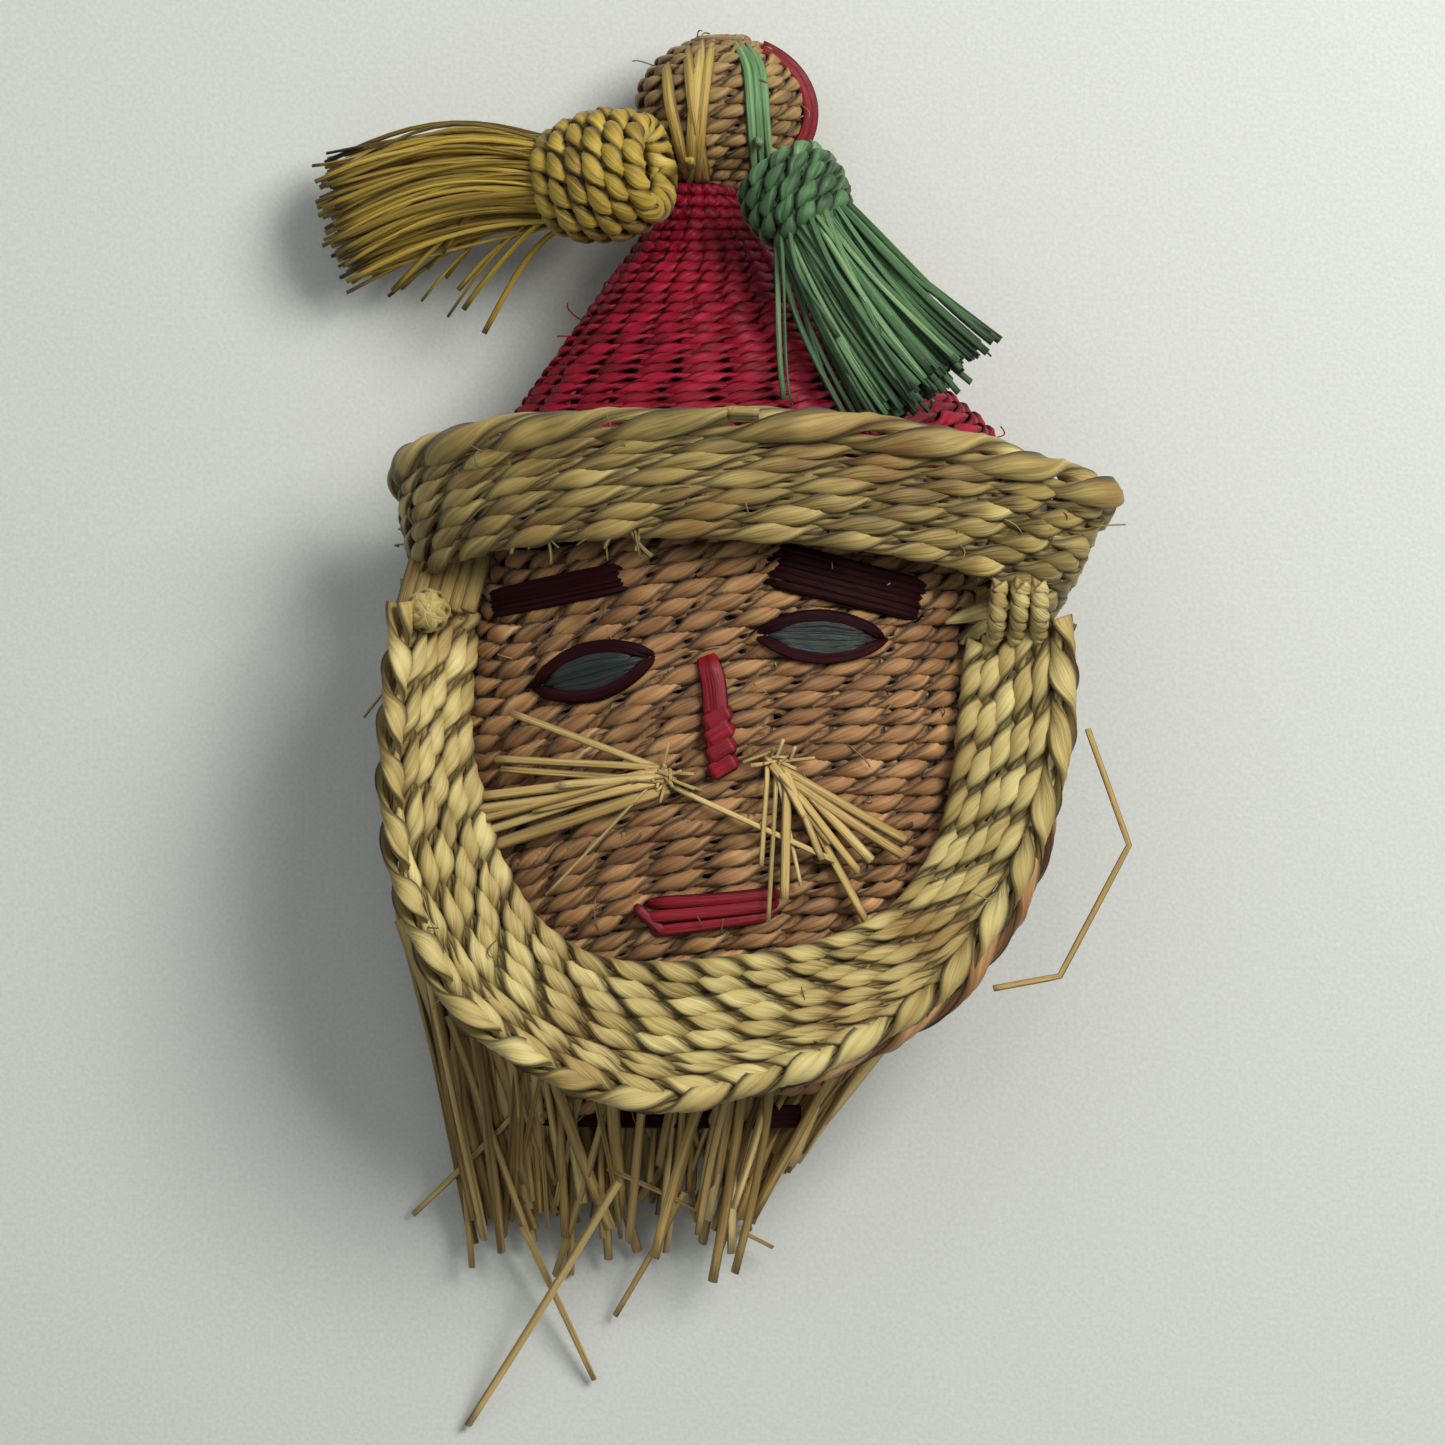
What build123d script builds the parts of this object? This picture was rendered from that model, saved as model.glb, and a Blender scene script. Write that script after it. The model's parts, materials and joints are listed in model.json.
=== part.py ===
"""Woven gnome's head with a tasselled hat, lying on its back.

The frame: +X to the viewer's right, +Y from chin to hat tip, +Z from the resting surface up out of
the face.  The origin lies on the flat back, under the bridge of the nose.  Millimetres throughout.
"""

from build123d import *
import os
from functools import cache
from math import atan2, cos, degrees, hypot, radians, sin, sqrt

os.makedirs("parts", exist_ok=True)

# ---- driving dimensions -------------------------------------------------------------------------
WALL = 3.0  # a twined wall: weft in front, stake, weft behind
FIT = 0.06  # gap between neighbouring pieces of one body
CLEAR = 0.3  # gap under soft pieces that lie just above the surface
FAR = 200.0  # beyond the object in every direction

# Head, from hat line to neck: height, centre x, half width, centre z, half depth
HEAD = [
    (33.0, 3.0, 36.0, 25.5, 18.5),
    (19.0, 0.8, 38.8, 24.4, 18.8),
    (10.0, 0.0, 40.0, 23.6, 19.4),
    (-3.0, -1.0, 44.0, 20.5, 22.5),
    (-20.0, -2.0, 42.0, 19.0, 22.0),
    (-40.0, -4.0, 36.0, 16.5, 19.0),
    (-52.0, -7.0, 28.0, 12.0, 12.5),
    (-60.0, -9.0, 22.0, 9.4, 8.0),
]
SIDES = 24  # flats round the head, the hat and the pompom
FRONT_Z = 26.0  # the features on the face are all above this
STAKE_THICK = 1.4
STAKE_WIDE = 2.0
STAKE_PITCH = 11.0
STAKE_PAIRS = 3  # stakes to each side of the one in the middle
STAKE_LOW_Y, STAKE_HIGH_Y = -55.0, 29.0
BINDING_WIDE = 3.4  # the strand round the gathered neck: along Y, then its thickness at the sides
BINDING_SIDE = 3.0  # and in front
BINDING_FRONT = 2.6

# Ribbons sewn over the face.  A bar is its two ends x, y and x, y and its width.
RIBBON_TOP = 1.3  # height of a sewn ribbon over the face
BROWS = {"left": (-35.0, 19.0, -13.6, 23.8, 4.8), "right": (7.0, 23.4, 32.0, 18.4, 6.4)}
EYES = {"left": (-19.8, 8.0, 14.0), "right": (14.8, 13.0, -1.0)}  # centre x, y and turn in degrees
EYE = (20.8, 8.4)  # length and width of the outline
EYE_HOLE = (16.0, 5.2)
IRIS = (15.7, 4.9)
IRIS_TOP = 1.6
NOSE = (-2.4, 9.6, -0.2, -7.6, 4.2)
NOSE_TOP = 2.6
MOUTH = (-12.4, -28.0, 8.6, -25.6, 1.7)
MOUTH_STRANDS = 3
MOUTH_PITCH = 1.85
MOUTH_TOP = 1.5
MOUSTACHE = {
    "left": [(-9.0, -8.0), (-33.0, -6.0), (-34.0, -17.5), (-11.0, -11.5)],
    "right": [(7.0, -5.5), (11.5, -5.5), (25.5, -18.0), (20.0, -23.5), (9.4, -21.8)],
}
MOUSTACHE_TOP = 2.4

# Hat, from hat line to tip, laid out as the head is
HAT = [
    (33.1, 4.0, 42.5, 23.4, 21.6),
    (45.0, 4.2, 38.7, 22.4, 20.6),
    (54.6, 0.8, 28.4, 18.8, 17.6),
    (67.0, -2.0, 17.0, 14.8, 12.6),
    (78.0, -3.0, 8.2, 12.4, 7.4),
    (84.0, -3.0, 5.4, 11.8, 5.2),
]
HAT_STAKES = 5  # pairs, each in one plane through the hat's axis

# Brim: an elliptical ring that flares upwards and leans back
BRIM_LEAN = 20.0  # degrees
BRIM_SKEW = -0.048  # fall to the right, as a slope
BRIM_LOW = (2.0, 19.0, 24.6, 46.5, 24.2)  # centre x, y, z, half width, half depth
BRIM_HIGH = (3.9, 33.8, 27.0, 54.2, 26.6)
BRIM_CORD = 4.6  # height and thickness of the two-ply cord along its top
BRIM_OVERHANG = 0.8  # how far that cord stands out from the band
BRIM_SIDES = 36

# Collar: stations along the beard from the left temple round the chin to the right temple,
# each the inner point x, y and the outer point x, y, z
COLLAR = [
    ((-39.6, 11.0), (-49.4, 13.0, 40.5)),
    ((-40.6, -3.0), (-51.0, -2.0, 43.0)),
    ((-36.6, -19.0), (-50.4, -22.0, 44.0)),
    ((-29.5, -31.5), (-42.5, -43.5, 43.0)),
    ((-18.5, -37.4), (-25.5, -55.5, 42.0)),
    ((-6.0, -37.0), (-8.0, -60.2, 41.0)),
    ((12.0, -34.8), (16.5, -53.0, 40.5)),
    ((25.5, -30.6), (35.0, -41.5, 40.0)),
    ((33.6, -20.0), (47.5, -22.5, 39.5)),
    ((36.6, -4.0), (53.5, -3.0, 40.0)),
    ((38.6, 14.5), (53.0, 13.6, 38.5)),
]
COLLAR_THICK = 2.6
COLLAR_OFF_FACE = 2.5  # height of the collar's inner edge above the face
RIM = 2.6  # the cord along the collar's outer edge
TEMPLE_KNOT = (-45.4, 17.2, 37.0)
TEMPLE_KNOT_RADIUS = 2.9
RIM_EDGE = 0.4  # how far that cord is thicker than the collar on each face
TIE_LOW = (42.0, 15.2, 36.4)  # foot of the first tie at the right temple
TIE_RISE = (0.0, 3.2, 5.6)
TIE_PITCH = 3.2
TIE_RADIUS = 1.1
TIES = 3

# Pompom: a ball of rows, each a height against a radius, flattened in z
POMPOM = [(84.1, 4.6), (86.9, 8.6), (90.6, 12.2), (95.4, 14.1), (100.4, 13.3), (104.6, 9.6), (107.0, 3.0)]
POMPOM_Z = 12.2
POMPOM_FLAT = 0.84
POMPOM_WALL = 1.8
STRAP_THICK = 0.9
STRAP_LOW_Y = 89.5
STRAP_GAP = 5.2  # the straps part this far from the pompom's axis
STRAPS = {"yellow": (-19.0, 3.4), "green": (22.0, 3.2), "crimson": (88.0, 1.8)}  # azimuth, width

# Tassels: the point they hang from, the middle of the fringe's cut end, the knob's distance along
# that line against its radius, the bundle's radius within it, and half the fringe's width and
# thickness at the cut end
TASSELS = {
    "yellow": dict(
        pivot=(-5.0, 87.0, 29.5),
        end=(-59.4, 79.4, 10.0),
        knob=[(3.4, 2.4), (5.4, 8.0), (12.0, 10.8), (19.0, 10.0), (23.6, 6.8)],
        bundle=4.6,
        fringe=(8.8, 7.0),
    ),
    "green": dict(
        pivot=(5.2, 90.0, 29.5),
        end=(31.8, 51.6, 43.0),
        knob=[(3.4, 2.4), (5.0, 7.2), (9.6, 9.2), (14.0, 8.6), (17.6, 6.2)],
        bundle=4.4,
        fringe=(9.8, 5.0),
    ),
}
NECK_BALL = 2.3
NECK_STEM = 1.2
FRINGE_SIDES = 16

# Beard: the outline of each bunch of cut straw, and the height of its top
BEARD = {
    "left": ([(-50, 12), (-51, -38), (-44.5, -79.5), (-27.5, -79), (-32, -60), (-45, -38), (-46, 12)], 9.0),
    "middle": ([(-31, -64), (-27, -78), (-20, -88), (-2, -91), (4, -64)], 15.0),
    "right": ([(13.8, -63), (3.5, -76), (12, -78), (31, -49), (25, -46)], 9.0),
}

# Single straws: start, end and radius
LONG_STRAWS = [
    ((-31.5, -79.6, 10.6), (-19.8, -104.6, 1.2), 0.8),
    ((-24.5, -84.5, 13.0), (-40.8, -111.6, 1.3), 0.9),
]
CHEEK_STRAW = ((-50.8, -6.0, 12.0), (-49.8, 22.0, 13.0), 0.8)
STRAY_FIBRE = [(57.0, -2.0, 33.0), (63.2, -19.0, 29.0), (52.3, -39.6, 26.0), (42.0, -41.0, 29.0)]
STRAY_FIBRE_RADIUS = 0.4


# ---- shapes shared by several pieces ------------------------------------------------------------
def flat_face(points):
    return Face(Wire.make_polygon([tuple(point) for point in points], close=True))


def skin(rings, closed=False):
    """A solid with flat facets over a row of rings: a bar with two end faces, or a closed hoop."""
    facets = []
    pairs = list(zip(rings, rings[1:]))
    if closed:
        pairs.append((rings[-1], rings[0]))
    for near, far in pairs:
        for i in range(len(near)):
            j = (i + 1) % len(near)
            facets.append(flat_face([near[i], near[j], far[j]]))
            facets.append(flat_face([near[i], far[j], far[i]]))
    if not closed:
        facets.append(flat_face(rings[0]))
        facets.append(flat_face(rings[-1]))
    solid = Solid(Shell(facets))
    return solid if solid.volume > 0 else Solid(solid.wrapped.Reversed())


def ellipse_points(plane, wide, deep, sides=SIDES):
    """Corners of a polygon inscribed in an ellipse that lies in a plane."""
    corners = []
    for i in range(sides):
        angle = radians(360 * i / sides)
        corners.append(plane.from_local_coords(Vector(wide * cos(angle), deep * sin(angle), 0)))
    return corners


def across(x, y, z):
    """A plane square to Y through a point, with its own y axis along -Z."""
    return Plane(origin=(x, y, z), x_dir=(1, 0, 0), z_dir=(0, 1, 0))


@cache
def tapered(sections, grow=0.0, ends=0.0):
    """A closed body through ellipses square to Y, each grown by the same amount; the two end
    faces move outwards by their own amount."""
    rows = sorted(sections)
    rings = []
    for i, (y, x, wide, z, deep) in enumerate(rows):
        shift = -ends if i == 0 else ends if i == len(rows) - 1 else 0
        rings.append(ellipse_points(across(x, y + shift, z), wide + grow, deep + grow))
    return skin(rings)


def head_form(grow=0.0, ends=0.0):
    return tapered(tuple(HEAD), grow, ends)


def block(x0, x1, y0, y1, z0, z1):
    return Pos((x0 + x1) / 2, (y0 + y1) / 2, (z0 + z1) / 2) * Box(x1 - x0, y1 - y0, z1 - z0)


def above(z):
    return block(-FAR, FAR, -FAR, FAR, z, FAR)


@cache
def head_body(inset=0.0):
    """The head drawn in by an inset, flat underneath."""
    return head_form(-inset, -inset) & above(inset)


def between(table, y):
    """A section table's values at height y."""
    rows = sorted(table)
    y = min(max(y, rows[0][0]), rows[-1][0])
    for low, high in zip(rows, rows[1:]):
        if y <= high[0]:
            t = (y - low[0]) / (high[0] - low[0])
            return [a + t * (b - a) for a, b in zip(low[1:], high[1:])]


def face_z(x, y):
    """Height of the face over the resting surface."""
    centre, half_wide, middle, half_deep = between(HEAD, y)
    return middle + half_deep * sqrt(max(0.0, 1 - ((x - centre) / half_wide) ** 2))


def on_face(outline, low, high):
    """The part of a layer from low to high over the face that lies inside an outline."""
    column = extrude(outline, FAR, dir=(0, 0, 1)) & above(FRONT_Z)
    return (head_form(high) & column) - head_form(low)


def bar(x0, y0, x1, y1, wide):
    """A flat bar with round ends between two points."""
    turn = degrees(atan2(y1 - y0, x1 - x0))
    middle = Pos((x0 + x1) / 2, (y0 + y1) / 2)
    return middle * SlotCenterToCenter(hypot(x1 - x0, y1 - y0) - wide, wide, rotation=turn)


def almond(x, y, length, wide, turn):
    """A pointed oval made of two arcs."""
    over = ThreePointArc((-length / 2, 0), (0, wide / 2), (length / 2, 0))
    under = ThreePointArc((length / 2, 0), (0, -wide / 2), (-length / 2, 0))
    return Pos(x, y) * Rot(0, 0, turn) * make_face(over + under)


def stalk(start, end, radius):
    """A straight straw between two points."""
    line = Vector(end) - Vector(start)
    return extrude(Plane(origin=start, z_dir=line.normalized()) * Circle(radius), line.length)


def slab(outline, z0, z1):
    """An upright block over an outline of corners."""
    return extrude(Pos(0, 0, z0) * make_face(Polyline(outline, close=True)), z1 - z0, dir=(0, 0, 1))


def cut_into(layer, cutters):
    """The separate pieces of a layer that lie inside the cutters."""
    pieces = []
    for cutter in cutters:
        pieces.extend((layer & cutter).solids())
    return Compound(children=pieces)


def save(name, shape):
    """Writes a node as its plain solids."""
    solids = shape.solids()
    body = solids[0] if len(solids) == 1 else Compound(children=list(solids))
    body.label = name
    export_step(body, f"parts/{name}.step")


# ---- head ---------------------------------------------------------------------------------------
def head():
    """The woven pouch, the flat stakes against the inside of its wall, and its straw filling."""
    save("head_weave", head_body() - head_body(WALL))
    stake_face = WALL + FIT
    strips = []
    for i in range(-STAKE_PAIRS, STAKE_PAIRS + 1):
        x = i * STAKE_PITCH
        strips.append(block(x - STAKE_WIDE / 2, x + STAKE_WIDE / 2, STAKE_LOW_Y, STAKE_HIGH_Y, FRONT_Z, FAR))
    layer = head_body(stake_face) - head_body(stake_face + STAKE_THICK)
    save("head_stakes", cut_into(layer, strips))
    save("head_filling", head_body(stake_face + STAKE_THICK + FIT))


def features():
    """Brows, eyes, nose and mouth: flat strands sewn over the face."""
    for side, brow in BROWS.items():
        save(f"{side}_brow", on_face(bar(*brow), FIT, RIBBON_TOP))
    for side, (x, y, turn) in EYES.items():
        ring = almond(x, y, *EYE, turn) - almond(x, y, *EYE_HOLE, turn)
        save(f"{side}_eye_outline", on_face(ring, FIT, RIBBON_TOP))
        save(f"{side}_iris", on_face(almond(x, y, *IRIS, turn), FIT, IRIS_TOP))
    save("nose_stitch", on_face(bar(*NOSE), FIT, NOSE_TOP))
    x0, y0, x1, y1, wide = MOUTH
    strands = []
    for k in range(MOUTH_STRANDS):
        drop = k * MOUTH_PITCH
        strands.append(on_face(bar(x0, y0 - drop, x1, y1 - drop, wide), FIT, MOUTH_TOP))
    save("mouth_stitches", Compound(children=strands))


def moustache():
    """A tuft of cut straw to each side, as a flat fan just over the face."""
    for side, fan in MOUSTACHE.items():
        save(f"{side}_moustache", on_face(make_face(Polyline(fan, close=True)), CLEAR, MOUSTACHE_TOP))


def neck():
    """A dark strand wound round the gathered stakes under the chin."""
    y, x, half_wide, z, half_deep = HEAD[-1]
    ring = Ellipse(half_wide, half_deep) - Ellipse(half_wide - BINDING_SIDE, half_deep - BINDING_FRONT)
    save("neck_binding", extrude(across(x, y - FIT, z) * ring, BINDING_WIDE, dir=(0, -1, 0)))


# ---- hat, brim and pompom -----------------------------------------------------------------------
def hat():
    """The hollow cone, open towards the head, and the stakes inside its wall."""
    hollow = tuple(HAT[:-2])
    inside = tapered(hollow, -WALL)
    save("hat_weave", tapered(tuple(HAT)) - inside)
    layer = tapered(hollow, -WALL - FIT) - tapered(hollow, -WALL - FIT - STAKE_THICK)
    y, x, wide, z, deep = HAT[0]
    spokes = []
    for i in range(HAT_STAKES):
        turned_by = 180.0 / HAT_STAKES * (i + 0.5)
        spokes.append(Pos(x, y, z) * Rot(0, turned_by, 0) * Box(FAR, FAR, STAKE_WIDE))
    tip_y = hollow[-1][0] - 1.0
    save("hat_stakes", cut_into(layer & block(-FAR, FAR, y + 1.0, tip_y, 0, FAR), spokes))


def brim_ring(row, grow, rise):
    """Corners of the brim's section at a row: it leans back and falls to the right.  The section
    is grown by one amount and moved along the brim's own axis by another."""
    x, y, z, half_wide, half_deep = row
    lean = radians(BRIM_LEAN)
    normal = Vector(-BRIM_SKEW * cos(lean), cos(lean), -sin(lean)).normalized()
    plane = Plane(origin=Vector(x, y, z) + normal * rise, x_dir=(1, BRIM_SKEW, 0), z_dir=normal)
    return ellipse_points(plane, half_wide + grow, (half_deep + grow) / cos(lean), BRIM_SIDES)


def brim():
    """The flared band and the thick two-ply cord along its top edge."""
    band_rings = [brim_ring(BRIM_LOW, 0, 0), brim_ring(BRIM_HIGH, 0, 0)]
    band_rings += [brim_ring(BRIM_HIGH, -WALL, 0), brim_ring(BRIM_LOW, -WALL, 0)]
    save("brim_band", skin(band_rings, closed=True))
    out, inward = BRIM_OVERHANG, BRIM_OVERHANG - BRIM_CORD
    cord_rings = [brim_ring(BRIM_HIGH, out, FIT), brim_ring(BRIM_HIGH, out, BRIM_CORD)]
    cord_rings += [brim_ring(BRIM_HIGH, inward, BRIM_CORD), brim_ring(BRIM_HIGH, inward, FIT)]
    save("brim_top_cord", skin(cord_rings, closed=True) & above(CLEAR))


def pompom_form(grow=0.0):
    """The pompom's rows, grown by an amount all round."""
    rows = []
    for y, radius in POMPOM:
        rows.append((y, 0.0, radius + grow, POMPOM_Z, radius * POMPOM_FLAT + grow))
    return tapered(tuple(rows), 0.0, grow)


def pompom():
    """The woven ball, its core, and the strands that pass over it."""
    save("pompom_weave", pompom_form() - pompom_form(-POMPOM_WALL))
    save("pompom_core", pompom_form(-POMPOM_WALL - FIT))
    layer = (pompom_form(FIT + STRAP_THICK) - pompom_form(FIT)) & above(CLEAR)
    top_y = POMPOM[-1][0]
    for name, (azimuth, wide) in STRAPS.items():
        strip = block(-wide / 2, wide / 2, STRAP_LOW_Y, top_y, STRAP_GAP, FAR)
        save(f"{name}_strap", layer & (Pos(0, 0, POMPOM_Z) * Rot(0, azimuth, 0) * strip))


# ---- tassels ------------------------------------------------------------------------------------
def tassel_frame(pivot, end):
    """A plane at the pivot whose normal runs along the tassel and whose x axis is level."""
    along = (Vector(*end) - Vector(*pivot)).normalized()
    return Plane(origin=pivot, x_dir=Vector(0, 0, 1).cross(along), z_dir=along)


def tassel_knob(knob, bundle):
    """A barrel of twined rows with a blind bore for the bundle, standing on +Z."""
    points = [(radius, along) for along, radius in knob]
    outline = Polyline([(0, points[0][1])] + points + [(0, points[-1][1])], close=True)
    barrel = Rot(90, 0, 0) * revolve(make_face(outline), Axis.Y)
    return barrel - Pos(0, 0, knob[1][0]) * extrude(Circle(bundle), FAR)


def tassel_fringe(frame, knob, bundle, fringe, length):
    """The bundle inside the knob and the skirt that spreads to the cut end."""
    radius = bundle - FIT
    root, mouth = knob[1][0] + FIT, knob[-1][0]
    rings = []
    for along, wide, thick in ((root, radius, radius), (mouth, radius, radius), (length, *fringe)):
        rings.append(ellipse_points(frame.offset(along), wide, thick, FRINGE_SIDES))
    return skin(rings)


def tassel(name, pivot, end, knob, bundle, fringe):
    """A tassel, and the neck of gathered strands that it turns on."""
    frame = tassel_frame(pivot, end)
    length = (Vector(*end) - Vector(*pivot)).length
    save(f"{name}_knob", frame * tassel_knob(knob, bundle))
    save(f"{name}_fringe", tassel_fringe(frame, knob, bundle, fringe, length))
    x, y, z = pivot
    stem = stalk((x, y, POMPOM_Z), pivot, NECK_STEM) - pompom_form(STRAP_THICK + 4 * CLEAR)
    save(f"{name}_neck", stem + Pos(x, y, z) * Sphere(NECK_BALL))


# ---- collar and beard ---------------------------------------------------------------------------
def collar_frames():
    """At each station: inner point, unit vector outwards, width and unit normal out of the dish."""
    points = []
    for (x, y), outer in COLLAR:
        points.append((Vector(x, y, face_z(x, y) + COLLAR_OFF_FACE), Vector(*outer)))
    frames = []
    for i, (inner, outer) in enumerate(points):
        before = points[max(i - 1, 0)]
        after = points[min(i + 1, len(points) - 1)]
        along = (after[0] + after[1]) - (before[0] + before[1])
        out = (outer - inner).normalized()
        frames.append((inner, out, (outer - inner).length, along.cross(out).normalized() * -1))
    return frames


def band(frames, start, finish, low, high):
    """A closed strip over the stations: start and finish give how far beyond the inner edge, or
    beyond the outer edge where that is named, its two sides run; low and high are its faces."""
    rings = []
    for inner, out, width, normal in frames:
        near = start[1] + (width if start[0] == "outer" else 0)
        far = finish[1] + (width if finish[0] == "outer" else 0)
        corners = []
        for distance, height in ((near, low), (far, low), (far, high), (near, high)):
            corners.append(inner + out * distance + normal * height)
        rings.append(corners)
    return skin(rings)


def collar():
    """The woven band, the cord that binds its outer edge, and its fastenings at the temples."""
    frames = collar_frames()
    save("beard_collar", band(frames, ("inner", 0), ("outer", 0), 0, COLLAR_THICK))
    rim = band(frames, ("outer", CLEAR), ("outer", RIM), -RIM_EDGE, COLLAR_THICK + RIM_EDGE)
    save("collar_rim_cord", rim)
    save("temple_knot", Pos(*TEMPLE_KNOT) * Sphere(TEMPLE_KNOT_RADIUS))
    ties = []
    for k in range(TIES):
        foot = Vector(*TIE_LOW) + Vector(k * TIE_PITCH, 0, 0)
        ties.append(stalk(foot, foot + Vector(*TIE_RISE), TIE_RADIUS))
    save("temple_ties", Compound(children=ties))


def beard():
    """Bunches of cut straw from behind the collar, and the few straws that stray from them."""
    for side, (outline, top) in BEARD.items():
        save(f"beard_straw_{side}", slab(outline, CLEAR, top) - head_form(CLEAR))
    save("long_straws", Compound(children=[stalk(*straw) for straw in LONG_STRAWS]))
    save("cheek_straw", stalk(*CHEEK_STRAW))
    fibre = stalk(STRAY_FIBRE[0], STRAY_FIBRE[1], STRAY_FIBRE_RADIUS)
    for start, end in zip(STRAY_FIBRE[1:], STRAY_FIBRE[2:]):
        knee = Pos(*start) * Sphere(STRAY_FIBRE_RADIUS)
        fibre = fibre + knee + stalk(start, end, STRAY_FIBRE_RADIUS)
    save("stray_fibre", fibre)


head()
features()
moustache()
neck()
hat()
brim()
pompom()
for tassel_name, sizes in TASSELS.items():
    tassel(tassel_name, **sizes)
collar()
beard()
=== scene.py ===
import json
import bpy
import numpy as np
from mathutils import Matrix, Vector
from mathutils.bvhtree import BVHTree


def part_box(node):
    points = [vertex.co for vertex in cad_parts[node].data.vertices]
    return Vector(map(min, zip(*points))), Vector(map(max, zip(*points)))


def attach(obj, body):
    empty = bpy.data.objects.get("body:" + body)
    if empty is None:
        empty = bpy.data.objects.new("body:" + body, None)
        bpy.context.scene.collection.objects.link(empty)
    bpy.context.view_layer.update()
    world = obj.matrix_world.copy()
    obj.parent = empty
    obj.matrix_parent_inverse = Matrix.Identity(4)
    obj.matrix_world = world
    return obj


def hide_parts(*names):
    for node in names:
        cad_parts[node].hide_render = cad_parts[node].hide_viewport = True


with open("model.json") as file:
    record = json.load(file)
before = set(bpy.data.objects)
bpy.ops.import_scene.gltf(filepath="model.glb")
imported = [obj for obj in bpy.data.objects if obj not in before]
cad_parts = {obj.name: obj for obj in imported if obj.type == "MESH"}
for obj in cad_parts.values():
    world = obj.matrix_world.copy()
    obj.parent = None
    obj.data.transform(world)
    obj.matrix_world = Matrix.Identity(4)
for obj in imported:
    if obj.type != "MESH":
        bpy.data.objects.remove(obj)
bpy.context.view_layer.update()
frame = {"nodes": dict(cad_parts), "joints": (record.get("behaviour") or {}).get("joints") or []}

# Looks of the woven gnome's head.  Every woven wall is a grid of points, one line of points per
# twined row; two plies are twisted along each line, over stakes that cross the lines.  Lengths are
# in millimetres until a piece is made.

MM = 0.001
FLOOR_GAP = 0.1  # soft pieces stay this far above the surface
random = np.random.default_rng(31)

CAMERA_LENS = 193.0
CAMERA_HEIGHT = 1.23
SENSOR = 36.0


# ---- arithmetic ---------------------------------------------------------------------------------
def unit(vectors):
    return vectors / np.maximum(np.linalg.norm(vectors, axis=-1, keepdims=True), 1e-9)


def vec(*numbers):
    return np.array(numbers, dtype=float)


def smooth(values, spread):
    """A Gaussian blur along the first axis, with the ends held."""
    reach = int(3 * spread) + 1
    kernel = np.exp(-0.5 * (np.arange(-reach, reach + 1) / spread) ** 2)
    kernel /= kernel.sum()
    table = values.reshape(len(values), -1)
    padded = np.concatenate([np.repeat(table[:1], reach, 0), table, np.repeat(table[-1:], reach, 0)])
    columns = [np.convolve(column, kernel, "valid") for column in padded.T]
    return np.stack(columns, 1).reshape(values.shape)


def lengths(path):
    steps = np.linalg.norm(np.diff(path, axis=0), axis=1)
    return np.concatenate([[0.0], np.cumsum(steps)])


def wander(count, spread):
    """Smooth noise of about unit size."""
    noise = smooth(random.normal(size=count + 1), spread)[:count]
    return noise / max(noise.std(), 1e-6)


def curve(points, count):
    """A smooth line of a given number of points through a few guide points."""
    points = np.array(points, dtype=float)
    along = lengths(points)
    dense = np.linspace(0, along[-1], max(count, 60))
    line = np.stack([np.interp(dense, along, column) for column in points.T], 1)
    softened = smooth(line, len(dense) / (4.5 * len(points)))
    ends = np.linspace(0, 1, len(dense))[:, None]
    softened += (line[0] - softened[0]) * (1 - ends) + (line[-1] - softened[-1]) * ends
    along = lengths(softened)
    at = np.linspace(0, along[-1], count)
    return np.stack([np.interp(at, along, column) for column in softened.T], 1)


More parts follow.
